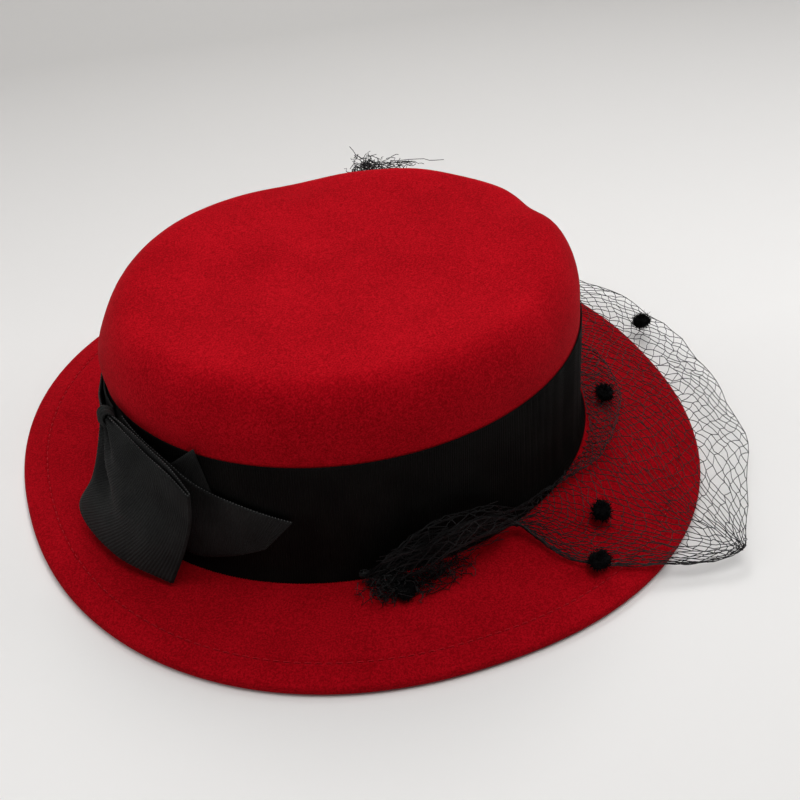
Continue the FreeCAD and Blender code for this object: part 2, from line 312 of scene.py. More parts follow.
BLACK_THREAD = cloth_material("black_sewing_thread", (0.004, 0.004, 0.004),
                              (0.014, 0.014, 0.015), 0.5, 0.05)
CHENILLE = cloth_material("chenille_pile", (0.0015, 0.0015, 0.0015),
                          (0.0060, 0.0060, 0.0065), 0.95, 0.0, 0.03)
# Red sewing thread. Its tone is lighter than the brim felt, and that extra lightness is painted light that
# offsets the shade in the hem's groove.
RED_THREAD_PAINTED_LIGHT = cloth_material("red_sewing_thread_painted_light", (0.32, 0.001, 0.006),
                            (0.46, 0.002, 0.010), 0.7, 0.05)
STEEL = steel_material()


def dress(piece, slot, finish, *nodes):
    """Give a piece its finish and hide the CAD nodes that it stands for; the slot is not used."""
    piece.data.materials.clear()
    piece.data.materials.append(finish)
    if nodes:
        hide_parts(*nodes)
    return piece


# ------------------------------------------------------------------ crown

def crown_profile():
    """The crown's side view as stations up the wall, round the corner and over the top."""
    stations = [("wall", h) for h in np.linspace(0.1, WALL_HEIGHT, 26)]
    stations += [("corner", t) for t in np.linspace(0, math.pi / 2, 15)[1:]]
    stations += [("top", t) for t in np.linspace(0, 1, 26)[1:-1]]
    return stations


def crown_grid(outset, columns=288):
    """Rows of points up the wall, round the corner and over the top, in the crown frame."""
    angle = np.linspace(0, math.tau, columns, endpoint=False)
    rows = []
    for kind, value in crown_profile():
        if kind == "wall":
            a, b = wall_halves(value)
            inset, height = 0.0, value
        elif kind == "corner":
            a, b = TOP_LONG, TOP_SHORT
            inset = CORNER_INSET * (1 - math.cos(value))
            height = WALL_HEIGHT + (CORNER_RISE + outset) * math.sin(value)
        else:
            a, b = TOP_LONG, TOP_SHORT
            inset = CORNER_INSET
            height = WALL_HEIGHT + CORNER_RISE + outset
        shrink = 1.0 if kind != "top" else 1 - value
        x = (a - inset + outset) * np.cos(angle) * shrink
        y = (b - inset + outset) * np.sin(angle) * shrink
        rows.append(np.stack([x, y, np.full(columns, height)], -1))
    return np.array(rows)


def bulge(points, centre, reach):
    """1 at a spot and falling smoothly to 0 at its reach."""
    distance = np.linalg.norm((points - np.array(centre)) / np.array(reach), axis=-1)
    return np.exp(-distance ** 2 * 2)


def shape_crown(grid):
    """The blocked crown isn't perfect: a dished top, low ridges, a dent and an uneven edge."""
    out = grid.copy()
    x, y, z = grid[..., 0], grid[..., 1], grid[..., 2]
    radial = np.sqrt((x / (TOP_LONG - CORNER_INSET)) ** 2 + (y / (TOP_SHORT - CORNER_INSET)) ** 2)
    turn = np.arctan2(y, x)
    high = smooth_step(z, WALL_HEIGHT - 8, WALL_HEIGHT + CORNER_RISE)
    out[..., 2] -= 2.2 * high * (1 - smooth_step(radial, 0.2, 1.0))
    out[..., 2] += high * radial * (0.7 * np.sin(3 * turn + 0.6) + 0.5 * np.sin(5 * turn + 2.1))
    out[..., 2] -= 2.8 * bulge(grid, (88, 12, 80), (20, 15, 30)) * high
    out[..., 0] -= 2.6 * bulge(grid, (92, 14, 72), (30, 14, 15)) * high
    out[..., 2] -= 1.8 * bulge(grid, (4, 66, 88), (22, 14, 40)) * high
    out[..., 2] += 1.2 * bulge(grid, (52, 54, 88), (28, 16, 40)) * high
    overhang = 2.4 * bulge(grid, (-97, 22, 63), (40, 62, 12))
    out[..., 0] += overhang * np.cos(turn)
    out[..., 1] += overhang * np.sin(turn)
    swell = 0.45 * np.sin(2 * turn + 1.0) + 0.35 * np.sin(4 * turn + 0.3)
    above_band = smooth_step(z, BAND_WIDTH + 1, BAND_WIDTH + 10)
    out[..., 0] += swell * np.cos(turn) * above_band * (radial > 0.5)
    out[..., 1] += swell * np.sin(turn) * above_band * (radial > 0.5)
    return out


def make_crown():
    """Felt crown as one closed skin: outside, hem edge and inside."""
    outset = -RIBBON - BAND_GAP
    outside = shape_crown(crown_grid(outset))
    inside = shape_crown(crown_grid(outset - FELT))
    rows, columns = outside.shape[:2]
    top_out = outside[-1].mean(axis=0)
    top_in = inside[-1].mean(axis=0)
    points = np.concatenate([outside.reshape(-1, 3), inside.reshape(-1, 3), [top_out], [top_in]])
    count = rows * columns
    faces = [face[::-1] for face in grid_faces(rows, columns, wrap_columns=True)]
    faces += grid_faces(rows, columns, wrap_columns=True, start=count)
    for j in range(columns):
        j2 = (j + 1) % columns
        faces.append((j, j2, count + j2, count + j))
        last = (rows - 1) * columns
        faces.append((last + j, last + j2, 2 * count))
        faces.append((count + last + j2, count + last + j, 2 * count + 1))
    crown = new_object("felt_crown_shell", crown_to_row(points), faces)
    dress(crown, "red_felt", CROWN_FELT, "felt_crown")
    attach(crown, "root")


# ------------------------------------------------------------------ brim

def headline_point(angle, outset, drop):
    """A point of the oval where brim and crown meet, in the row frame."""
    level = np.stack([(HEAD_LONG + outset) * np.cos(angle), (HEAD_SHORT + outset) * np.sin(angle),
                      np.full_like(angle, drop)], -1)
    return crown_to_row(level)


def brim_top(angle, share):
    """The brim's upper surface: share 0 at the headline, 1 at the start of the rolled edge."""
    inner = headline_point(angle, -RIBBON - BAND_GAP, 0.0)
    hem = rim_point(angle, -HEM_WIDTH)
    edge = rim_point(angle, -FELT)
    hem_z = RIM_DEPTH + HEM_RISE
    low = np.clip(share / HEM_SHARE, 0, 1)[..., None]
    high = np.clip((share - HEM_SHARE) / (1 - HEM_SHARE), 0, 1)[..., None]
    hem3 = np.concatenate([hem, np.full(hem.shape[:-1] + (1,), hem_z)], -1)
    edge3 = np.concatenate([edge, np.full(edge.shape[:-1] + (1,), RIM_DEPTH)], -1)
    return inner + (hem3 - inner) * low + (edge3 - hem3) * high


def make_brim():
    """Felt brim: slope, stitched groove, rolled edge, hem, underside and collar in one skin."""
    columns = 360
    angle = np.linspace(0, math.tau, columns, endpoint=False)
    rows = []
    for share in np.concatenate([np.linspace(0, 0.76, 22), np.linspace(0.77, 0.83, 9),
                                 np.linspace(0.84, 1.0, 8)]):
        row = brim_top(angle, np.full(columns, share))
        groove = math.exp(-((share - HEM_SHARE) / GROOVE_WIDTH) ** 2)
        row[:, 2] -= GROOVE_DEPTH * groove
        rows.append(row)
    half = RIM_DEPTH / 2
    for turn in np.linspace(80, -80, 11):
        a = math.radians(turn)
        ring = rim_point(angle, -half + half * math.cos(a))
        rows.append(np.column_stack([ring, np.full(columns, half + half * math.sin(a))]))
    for inset, height in ((3.5, 0.0), (6.0, 0.0), (HEM_WIDTH - 0.8, 0.0), (HEM_WIDTH, 0.8),
                          (HEM_WIDTH, FELT)):
        ring = rim_point(angle, -inset)
        rows.append(np.column_stack([ring, np.full(columns, height)]))
    for share in np.linspace(0.76, 0.0, 14):
        row = brim_top(angle, np.full(columns, share))
        row[:, 2] -= FELT
        rows.append(row)
    wall = RIBBON + BAND_GAP + FELT + COLLAR_CLEAR
    for outset, drop in ((-wall - COLLAR, -FELT), (-wall - COLLAR, 7.4), (-wall - 0.6, 8.0),
                         (-wall, 7.4), (-wall, 0.4), (-wall + 0.4, 0.0)):
        rows.append(headline_point(angle, outset, drop))
    brim = ring_mesh("felt_brim_shell", np.array(rows))
    # The brim wears the darker copy of the felt, its painted shade.
    dress(brim, "red_felt", BRIM_FELT_PAINTED_SHADE, "felt_brim")
    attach(brim, "root")


# ------------------------------------------------------------------ threads

def tube_batch(paths, radius, sides=4):
    """Points and faces of closed thin tubes along many paths of equal step count."""
    paths = np.asarray(paths, float)
    count, steps = paths.shape[:2]
    along = np.gradient(paths, axis=1)
    along /= np.linalg.norm(along, axis=-1, keepdims=True) + 1e-12
    upright = np.abs(along[:, :1, 2:3]).repeat(steps, axis=1) > 0.9
    guide = np.where(upright, np.array([1.0, 0.0, 0.0]), np.array([0.0, 0.0, 1.0]))
    side = np.cross(along, guide)
    side /= np.linalg.norm(side, axis=-1, keepdims=True) + 1e-12
    lift = np.cross(side, along)
    turn = (np.arange(sides) + 0.5) * math.tau / sides
    thick = np.broadcast_to(np.asarray(radius, float), (count, steps))[..., None, None]
    ring = side[:, :, None] * np.cos(turn)[:, None] + lift[:, :, None] * np.sin(turn)[:, None]
    points = (paths[:, :, None] + thick * ring).reshape(-1, 3)
    corner = np.arange(sides)
    start = ((np.arange(count)[:, None] * steps + np.arange(steps - 1)) * sides)[..., None]
    here, after = start + corner, start + (corner + 1) % sides
    walls = np.stack([here, after, after + sides, here + sides], -1).reshape(-1, 4)
    first = (np.arange(count) * steps * sides)[:, None]
    last = first + (steps - 1) * sides
    faces = walls.tolist() + (first + corner[::-1]).tolist() + (last + corner).tolist()
    return points, faces


def bead_batch(centres, radius):
    """Points and faces of small eight-sided beads."""
    tips = np.array([(1, 0, 0), (0, 1, 0), (-1, 0, 0), (0, -1, 0), (0, 0, 1), (0, 0, -1)], float)
    points = (np.asarray(centres)[:, None] + tips * radius).reshape(-1, 3)
    eight = [(0, 1, 4), (1, 2, 4), (2, 3, 4), (3, 0, 4), (1, 0, 5), (2, 1, 5), (3, 2, 5), (0, 3, 5)]
    faces = (np.arange(len(centres))[:, None, None] * 6 + np.array(eight)).reshape(-1, 3)
    return points, faces.tolist()


def join_batches(name, batches):
    """One mesh object from several batches of points and faces."""
    points, faces, start = [], [], 0
    for some, their_faces in batches:
        points.append(some)
        faces += [[corner + start for corner in face] for face in their_faces]
        start += len(some)
    return new_object(name, np.concatenate(points), faces, smooth=False)


def curve_at(stations, share):
    """Points on a smooth curve through the stations, at shares of its length."""
    stations = np.asarray(stations, float)
    steps = np.linalg.norm(np.diff(stations[:, :3], axis=0), axis=1)
    knots = np.concatenate([[0], np.cumsum(steps)])
    knots /= knots[-1]
    slope = np.gradient(stations, knots, axis=0)
    share = np.clip(np.asarray(share, float), 0, 1)
    place = np.clip(np.searchsorted(knots, share, side="right") - 1, 0, len(stations) - 2)
    width = (knots[place + 1] - knots[place])[..., None]
    t = (share[..., None] - knots[place][..., None]) / width
    return ((2 * t ** 3 - 3 * t ** 2 + 1) * stations[place]
            + (t ** 3 - 2 * t ** 2 + t) * width * slope[place]
            + (3 * t ** 2 - 2 * t ** 3) * stations[place + 1]
            + (t ** 3 - t ** 2) * width * slope[place + 1])


# ------------------------------------------------------------------ ribbons round the crown

def band_flare(height):
    """How far the band's lower edge stands out from the wall at a height up it."""
    above = np.clip(np.asarray(height, float) - BAND_FOOT, 0, None)
    return BAND_FLARE * np.exp(-(above / FLARE_FADE) ** 1.3)


def ribbed_ring(name, outset, cloth, bottom, top, flared=False):
    """A ribbon round the crown wall with real cross ribs. A flared one stands out on the brim."""
    around = int(BAND_RUN / RIB_PITCH) * 4
    angle = np.linspace(0, math.tau, around, endpoint=False)
    length = np.concatenate([[0], np.cumsum(np.hypot(np.diff(HEAD_LONG * np.cos(angle)),
                                                     np.diff(HEAD_SHORT * np.sin(angle))))])
    rib = RIB_DEPTH * np.cos(length / length[-1] * round(length[-1] / RIB_PITCH) * math.tau)
    levels = bottom + 0.4 + (top - bottom - 0.8) * np.linspace(0, 1, 18) ** 1.8
    heights = np.concatenate([[bottom], levels, [top]])
    spread = outset + band_flare(heights) * flared
    outer = np.array([wall_point(angle, np.full(around, h), out + rib - RIB_DEPTH)
                      for h, out in zip(heights, spread)])
    inner = np.array([wall_point(angle, np.full(around, h), out - cloth)
                      for h, out in zip(heights[::-1], spread[::-1])])
    ring = crown_to_row(np.concatenate([outer, inner]))
    if flared:
        lift = 0.1 + 0.2 * (np.concatenate([heights, heights[::-1]]) - bottom)
        brim = brim_height(ring[..., 0], ring[..., 1])[0]
        ring[..., 2] = np.maximum(ring[..., 2], brim + lift[:, None])
    return ring_mesh(name, ring)


def make_band():
    """Wide grosgrain band outside the crown."""
    band = ribbed_ring("hat_band_ribbon", 0.0, RIBBON, BAND_FOOT, BAND_FOOT + BAND_WIDTH, flared=True)
    dress(band, "black_grosgrain", GROSGRAIN, "hat_band")
    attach(band, "root")


def make_head_ribbon():
    """Narrow ribbed ribbon inside the head opening."""
    outset = -(RIBBON + BAND_GAP + FELT + COLLAR + COLLAR_CLEAR + SEAM_GAP)
    ribbon = ribbed_ring("head_ribbon_inside", outset, RIBBON, 0.5, 0.5 + HEAD_RIBBON_WIDTH)
    dress(ribbon, "head_ribbon", GROSGRAIN, "head_ribbon")
    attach(ribbon, "root")


# ------------------------------------------------------------------ bow

def ribbon_grid(rows, along, across):
    """A smooth grid of points from a few guide rows, each a list of stations."""
    t = np.linspace(0, 1, across)
    s = np.linspace(0, 1, along)
    guides = np.array([curve_at(row, s) for row in rows])
    place = t * (len(rows) - 1)
    low = np.clip(place.astype(int), 0, len(rows) - 2)
    part = (place - low)[:, None, None]
    slope = np.gradient(guides, axis=0)
    grid = ((2 * part ** 3 - 3 * part ** 2 + 1) * guides[low]
            + (part ** 3 - 2 * part ** 2 + part) * slope[low]
            + (3 * part ** 2 - 2 * part ** 3) * guides[low + 1]
            + (part ** 3 - part ** 2) * slope[low + 1])
    return grid.transpose(1, 0, 2)


def surface_normal(grid):
    """Unit normals of a grid of points."""
    normal = np.cross(np.gradient(grid, axis=0), np.gradient(grid, axis=1))
    return normal / (np.linalg.norm(normal, axis=2, keepdims=True) + 1e-12)


def ribbed(grid, depth=0.10):
    """The grid with cross ribs raised along its first direction."""
    middle = grid[:, grid.shape[1] // 2]
    length = np.concatenate([[0], np.cumsum(np.linalg.norm(np.diff(middle, axis=0), axis=1))])
    rib = depth * np.cos(length / RIB_PITCH * math.tau)
    return grid + surface_normal(grid) * rib[:, None, None]


def clear_of_band(points, gap):
    """Points in the row frame, moved out where they come nearer the band than gap."""
    c, s = math.cos(LEAN), math.sin(LEAN)
    x, y, z = points[..., 0], points[..., 1], points[..., 2] - HEADLINE
    cx, cz = x * c + z * s, -x * s + z * c
    a, b = wall_halves(np.clip(cz, 0, WALL_HEIGHT))
    gap = gap + band_flare(cz)
    ratio = np.sqrt((cx / (a + gap)) ** 2 + (y / (b + gap)) ** 2)
    push = np.where(ratio < 1, 1 / np.maximum(ratio, 1e-6), 1.0)
    out = np.stack([cx * push, y * push, cz], -1)
    return crown_to_row(out)


def selvedge_beads(name, edge, pitch=1.15):
    """The tiny thread loops along a ribbon's woven edge."""
    length = np.concatenate([[0], np.cumsum(np.linalg.norm(np.diff(edge, axis=0), axis=1))])
    places = np.arange(0.4, length[-1], pitch)
    centres = np.stack([np.interp(places, length, edge[:, axis]) for axis in range(3)], -1)
    points, faces = bead_batch(centres, 0.25)
    beads = new_object(name, points, faces)
    dress(beads, "black_grosgrain", SELVEDGE)
    return beads


def finish_ribbon(piece, node, edges=()):
    """Dress a bow piece, put it on its body and hang its selvedge beads on it."""
    dress(piece, "black_grosgrain", BOW_RIBBON, node)
    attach(piece, "root")
    for number, edge in enumerate(edges):
        bead_row = selvedge_beads("%s_selvedge_%d" % (piece.name, number), edge)
        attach(bead_row, "root")


KNOT = (-104.2, -16.6, 59.2)                 # the middle of the knot

# Guide rows of the hanging loop's outer layer, from its top edge to its bottom edge, each
# from the knot to the fold.
NEAR_LOOP = [
    [(-103.2, -19.4, 61.2), (-99.5, -30.4, 60.5), (-95.2, -41.5, 59), (-90.3, -52.1, 57.5),
     (-85.7, -64.9, 56)],
    [(-104.2, -19.2, 59.8), (-104.0, -30.8, 52), (-100.0, -39.6, 46), (-93.4, -48.8, 42),
     (-85.8, -61.8, 40)],
    [(-105.0, -18.2, 58.8), (-109.1, -23.9, 40), (-107.9, -37.3, 30), (-100.7, -48.4, 26),
     (-89.1, -59.9, 23.5)],
    [(-105.6, -16.6, 58.0), (-113.6, -16.9, 31), (-120.1, -14.1, 16), (-112.1, -39.7, 11),
     (-94.6, -58.5, 7)]]


def make_near_loop():
    """The large loop: an outer layer down to a sharp fold and an inner layer back to the knot."""
    along, across = 430, 30
    outer = ribbon_grid(NEAR_LOOP, along, across)
    s = np.linspace(0, 1, along)[:, None]
    t = np.linspace(0, 1, across)[None, :]
    out = surface_normal(outer)
    if out[..., 0].mean() > 0:
        out = -out
    pleat = 1.1 * np.cos(math.tau * 3.2 * t + 0.5) * np.exp(-s / 0.13)
    hollow = -4.0 * np.exp(-((t - 0.66 - 0.10 * s) / 0.085) ** 2) * np.exp(-((s - 0.32) / 0.22) ** 2)
    crease = -4.4 * np.exp(-((t - 0.46) / 0.075) ** 2) * np.exp(-((s - 0.08) / 0.14) ** 2)
    swell = 1.6 * np.sin(math.pi * s) * np.sin(math.pi * t)
    outer = outer + out * (pleat + hollow + crease + swell)[..., None]
    depth = 1.1 + (1.0 + 2.6 * t) * np.sin(math.pi * s) ** 0.8
    toward = -outer * np.array([1.0, 1.0, 0.0])
    toward /= np.linalg.norm(toward, axis=2, keepdims=True)
    inner = clear_of_band(outer + toward * depth[..., None], 2.4)
    inner[..., 2] += 0.9 * (1 - t) * np.sin(math.pi * s)
    grid = np.concatenate([outer, inner[::-1]])
    fold = along
    for _ in range(14):
        grid[fold - 7:fold + 7] = (grid[fold - 8:fold + 6] + grid[fold - 6:fold + 8]) / 2
    loop = sheet_mesh("bow_near_loop", ribbed(grid), BOW_SHEET)
    finish_ribbon(loop, "bow_loop_near", [grid[10:, 0], grid[:fold, -1]])


def wall_grid(top, bottom, along, across):
    """A grid on the band between two edges given as (angle, height, outset) stations."""
    s = np.linspace(0, 1, along)
    upper, lower = curve_at(top, s), curve_at(bottom, s)
    t = np.linspace(0, 1, across)[:, None]
    mixed = upper[:, None] * (1 - t) + lower[:, None] * t
    outset = mixed[..., 2] + band_flare(mixed[..., 1])
    return crown_to_row(wall_point(np.radians(mixed[..., 0]), mixed[..., 1], outset))


def make_far_loop():
    """The other loop, flat against the band where the crown hides it."""
    top = [(187, 55, 4.6), (180, 53, 3.6), (172, 50, 2.4), (154, 48, 2.4), (147, 47, 1.8)]
    bottom = [(188, 45, 4.6), (180, 24, 3.6), (170, 8, 3.0), (154, 4, 2.8), (147, 4, 1.8)]
    outer = wall_grid(top, bottom, 300, 16)
    under = [(angle, height, 0.9) for angle, height, _ in top]
    under_low = [(angle, height, 0.9) for angle, height, _ in bottom]
    inner = wall_grid(under, under_low, 300, 16)
    loop = sheet_mesh("bow_far_loop", ribbed(np.concatenate([outer, inner[::-1]])), BOW_SHEET)
    finish_ribbon(loop, "bow_loop_far", [outer[:, 0]])


def make_knot():
    """The knot: a creased wrap of ribbon round the waist of the bow."""
    around, wide = 120, 40
    turn = np.linspace(0, math.tau, around, endpoint=False)[:, None]
    w = np.linspace(-1, 1, wide)[None, :]
    crease = 0.34 * np.cos(math.tau * 1.6 * w + 0.9 * np.sin(turn)) + 0.15 * np.sin(5 * w + 2 * turn)
    barrel = 1 - 0.22 * w ** 2
    rows = []
    for cloth in (0.0, 0.6):
        reach_x = 2.9 * barrel + crease - cloth
        reach_z = 4.2 * barrel + crease - cloth
        slant = 4.0 * w + 0.8 * np.sin(turn)
        rows.append(np.stack([KNOT[0] + reach_x * np.cos(turn), KNOT[1] + slant,
                              KNOT[2] + reach_z * np.sin(turn) - 0.35 * slant], -1))
    knot = ring_mesh("bow_centre_knot", np.concatenate([rows[0], rows[1][:, ::-1]], axis=1))
    finish_ribbon(knot, "bow_knot")


def make_tails():
    """Two cut tails: a long one slanting down the band, and the tip of a short one above it."""
    top = [(-166, 58, 1.5), (-150, 50.5, 1.35), (-142.8, 44.5, 1.3), (-131, 38.8, 1.5), (-119.3, 32.6, 1.7)]
    bottom = [(-166, 24, 1.5), (-152, 10, 1.3), (-144.7, 6.6, 1.3), (-135, 10.5, 1.4), (-125.9, 17.5, 1.7)]
    grid = wall_grid(top, bottom, 420, 24)
    tail = sheet_mesh("bow_long_tail", ribbed(grid), 0.35)
    finish_ribbon(tail, "bow_tail_long", [grid[:, 0]])
    top = [(-150, 47, 0.5), (-145, 55, 0.6), (-141.4, 60.8, 0.8)]
    bottom = [(-147, 33, 0.5), (-141, 35, 0.5), (-137.4, 38.5, 0.6)]
    grid = wall_grid(top, bottom, 120, 16)
    tip = sheet_mesh("bow_short_tail", ribbed(grid), 0.3)
    finish_ribbon(tip, "bow_tail_short", [grid[:, -1]])


# ------------------------------------------------------------------ stitches, wire and tacks

def make_edge_stitches():
    """Small stitches in the groove that closes the brim's hem."""
    count = 226
    angle = np.linspace(0, math.tau, 2000)
    line = rim_point(angle, -HEM_WIDTH + 0.1)
    length = np.concatenate([[0], np.cumsum(np.linalg.norm(np.diff(line, axis=0), axis=1))])
    pitch = length[-1] / count
    steps = np.linspace(-0.5, 0.5, 6)
    places = (np.arange(count)[:, None] + 0.5 + steps * STITCH_SHARE) * pitch
    x = np.interp(places, length, line[:, 0])
    y = np.interp(places, length, line[:, 1])
    z = np.broadcast_to(RIM_DEPTH + HEM_RISE - 0.60 + 0.34 * np.cos(steps * math.pi), x.shape)
    points, faces = tube_batch(np.stack([x, y, z], -1), 0.2, 6)
    stitches = new_object("brim_edge_stitches", points, faces)
    # The stitches' lighter red thread is painted light against the shade of the groove.
    dress(stitches, "red_thread", RED_THREAD_PAINTED_LIGHT, "brim_edge_stitching")
    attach(stitches, "root")


def make_hidden_trim():
    """The wire in the brim's rolled edge, and the CAD stitches under the band."""
    angle = np.linspace(0, math.tau, 360, endpoint=False)
    rows = []
    for turn in np.linspace(0, math.tau, 10, endpoint=False):
        ring = rim_point(angle, -2.6 + 0.6 * math.cos(turn))
        rows.append(np.column_stack([ring, np.full(360, 2.4 + 0.6 * math.sin(turn))]))
    wire = ring_mesh("brim_edge_wire", np.array(rows))
    dress(wire, "steel_wire", STEEL, "brim_wire")
    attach(wire, "root")
    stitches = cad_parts["headline_stitching"]
    stitches.data.materials.clear()
    stitches.data.materials.append(RED_THREAD_PAINTED_LIGHT)


def make_tacks():
    """Each end of the veil is held by several turns of black thread."""
    for node in ("veil_tack_near", "veil_tack_far"):
        low, high = (np.array(corner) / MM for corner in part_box(node))
        centre, reach = (low + high) / 2, (high - low) / 2 * 0.62
        turn = np.linspace(0, math.tau, 26)
        loops = []
        for _ in range(14):
            axis = rng.normal(size=3)
            axis /= np.linalg.norm(axis)
            one = np.cross(axis, [0.3, 0.5, 0.8])
            one /= np.linalg.norm(one)
            two = np.cross(axis, one)
            loops.append(centre + reach * (np.cos(turn)[:, None] * one + np.sin(turn)[:, None] * two))
        points, faces = tube_batch(np.array(loops), 0.18, 6)
        tack = new_object(node + "_thread", points, faces)
        dress(tack, "black_thread", BLACK_THREAD, node)
        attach(tack, "root")


# ------------------------------------------------------------------ veil

CELL = 6.0
THREAD, NET_KNOT = 0.165, 0.26               # radii of the net's thread and of its knots
CORNER = np.array([118.0, -121.0])           # where the veil's lower edge is drawn to a point
NEAR_LENGTH, SPREAD_LENGTH, FAR_LENGTH = 48.0, 384.0, 90.0
CELLS_ACROSS = 21
FOLD = 0.20                                  # share of the net folded back over its upper edge

INNER_EDGE = [(38, -77), (60, -66), (82, -53), (95, -35), (101, -12), (101, 14), (94, 38), (80, 60),
              (64, 79), (50, 95)]
OUTER_EDGE = [(35, -84), (49, -104), (80, -117), (118, -121), (139, -96), (155, -73), (167, -42),
              (171, -6), (171, 30), (164, 53), (142, 78), (106, 104), (76, 114), (52, 106)]
NEAR_BUNCH = [(-27, -86, 11, 2.2), (-21, -88, 16, 6), (-10, -90, 23, 9.5), (4, -91, 28, 11),
              (18, -89, 28, 9.5), (30, -84, 20, 7), (40, -79, 13.5, 6)]
FAR_BUNCH = [(51, 99, 14, 16), (49, 98, 30, 14), (47, 98, 48, 11), (45, 98, 64, 8.5), (43, 99, 76, 8)]


def brim_height(x, y):
    """Height of the brim's upper surface, and how far a spot lies beyond the brim's edge."""
    angle = np.linspace(-math.pi, math.pi, 721)
    turn = np.arctan2(y, x)
    reach = np.hypot(x, y)
    head = headline_point(angle, -RIBBON - BAND_GAP, 0.0)
    radii, heights = [np.hypot(head[:, 0], head[:, 1])], [head[:, 2]]
    for outset, height in ((-HEM_WIDTH, RIM_DEPTH + HEM_RISE), (0.0, RIM_DEPTH)):
        ring = rim_point(angle, outset)
        order = np.argsort(np.arctan2(ring[:, 1], ring[:, 0]))
        radii.append(np.interp(angle, np.arctan2(ring[order, 1], ring[order, 0]),
                               np.hypot(ring[order, 0], ring[order, 1])))
        heights.append(np.full(len(angle), height))
    at = [np.interp(turn, angle, values) for values in radii]
    level = [np.interp(turn, angle, values) for values in heights]
    low = np.clip((reach - at[0]) / (at[1] - at[0]), 0, 1)
    high = np.clip((reach - at[1]) / (at[2] - at[1]), 0, 1)
    return level[0] + (level[1] - level[0]) * low + (level[2] - level[1]) * high, reach - at[2]


def waves(x, y, seed):
    """A smooth uneven value of about -1 to 1 over the plane."""
    total = 0.0
    for number in range(5):
        turn, size = seed + 2.4 * number, 0.05 + 0.031 * number
        total = total + np.sin(size * (x * np.cos(turn) + y * np.sin(turn)) + 1.7 * number + seed)
    return total / 3


def spread_point(u, v):
    """A point of the net over the brim: u along the veil, v across it."""
    inner, outer = curve_at(INNER_EDGE, u), curve_at(OUTER_EDGE, u)
    over = v < FOLD
    front = smooth_step(u, 0.12, 0.45) * (1 - smooth_step(u, 0.48, 0.74))
    top_edge = 0.06 + 0.22 * front
    top_share = top_edge * (1 - (np.clip(v / FOLD, 0, 1)) ** 2.0)
    low = np.clip((v - FOLD) / (1 - FOLD), 0, 1)
    crowd = 1 + 0.9 * (1 - smooth_step(u, 0.12, 0.34))
    low_share = 1 - (1 - low) ** crowd
    share = np.where(over, top_share, low_share)
    flat = inner + (outer - inner) * share[..., None]
    flat = flat + np.stack([waves(flat[..., 0], flat[..., 1], 0.4 + over),
                            waves(flat[..., 0], flat[..., 1], 3.1 + over)], -1) * 1.8
    distance = np.linalg.norm(flat - CORNER, axis=-1, keepdims=True)
    flat = flat + (CORNER - flat) * 0.86 * np.exp(-(distance / 34) ** 2)
    height, beyond = brim_height(flat[..., 0], flat[..., 1])
    ripple = 1 + waves(flat[..., 0], flat[..., 1], 5.0)
    flutter = 1 + waves(flat[..., 0], flat[..., 1], 7.7)
    rise = 1.5 + 2.2 * smooth_step(FOLD - v, -0.04, 0.10) + 1.1 * ripple
    droop = 2.2 * smooth_step(beyond, 0, 20) - 1.4 * flutter * (beyond > 0)
    return np.concatenate([flat, (height + rise - droop)[..., None]], -1)


def bunch_point(stations, share, v, across, up):
    """A point of the gathered net, its folds laid round the bunch's own line."""
    line = curve_at(stations, share)
    strand = v + 0.030 * np.sin(math.tau * 6 * v) + 0.016 * np.sin(11 * share + 17 * v)
    turn = math.tau * (1.1 * strand + 0.06 * np.sin(9 * share)) + 0.6
    reach = line[..., 3] * (0.66 + 0.40 * np.sin(math.tau * 2.6 * strand + 3.0 * share))
    return (line[..., :3] + np.array(across) * (reach * np.cos(turn))[..., None]
            + np.array(up) * (reach * np.sin(turn))[..., None])


def net_point(along, v):
    """A point of the whole veil: along in millimetres from its near end, v across it."""
    u = (along - NEAR_LENGTH) / SPREAD_LENGTH
    spread = spread_point(np.clip(u, 0, 1), v)
    near_share = np.clip(along / (NEAR_LENGTH + 12), 0, 1)
    near = bunch_point(NEAR_BUNCH, near_share, v, (0.15, 0.5, 0.1), (0.2, 0.0, 1.0))
    far_share = np.clip((along - NEAR_LENGTH - SPREAD_LENGTH + 12) / (FAR_LENGTH + 12), 0, 1)
    far = bunch_point(FAR_BUNCH, far_share, v, (1.0, 0.1, 0.2), (0.0, 0.75, 0.3))
    to_spread = smooth_step(along, NEAR_LENGTH - 14, NEAR_LENGTH + 18)[..., None]
    to_far = smooth_step(along, NEAR_LENGTH + SPREAD_LENGTH - 36, NEAR_LENGTH + SPREAD_LENGTH + 14)[..., None]
    return near * (1 - to_spread) + (spread * (1 - to_far) + far * to_far) * to_spread


def settle(points):
    """Net points kept above the brim and the floor and outside the band and crown."""
    height, beyond = brim_height(points[..., 0], points[..., 1])
    floor = np.where(beyond < 0.6, height + 0.55, 0.5)
    points[..., 2] = np.maximum(points[..., 2], floor)
    return clear_of_band(points, 1.0)


def loose_threads(count, start, start_reach, end, end_reach, curl, steps=12):
    """Frayed threads that wander from one place to another."""
    t = np.linspace(0, 1, steps)[None, :, None]
    first = np.array(start) + rng.normal(size=(count, 1, 3)) * start_reach
    last = np.array(end) + rng.normal(size=(count, 1, 3)) * end_reach
    wander = np.cumsum(rng.normal(size=(count, steps, 3)), axis=1) * curl
    wander -= wander[:, :1] * (1 - t) + wander[:, -1:] * t
    return settle(first * (1 - t) + last * t + wander)


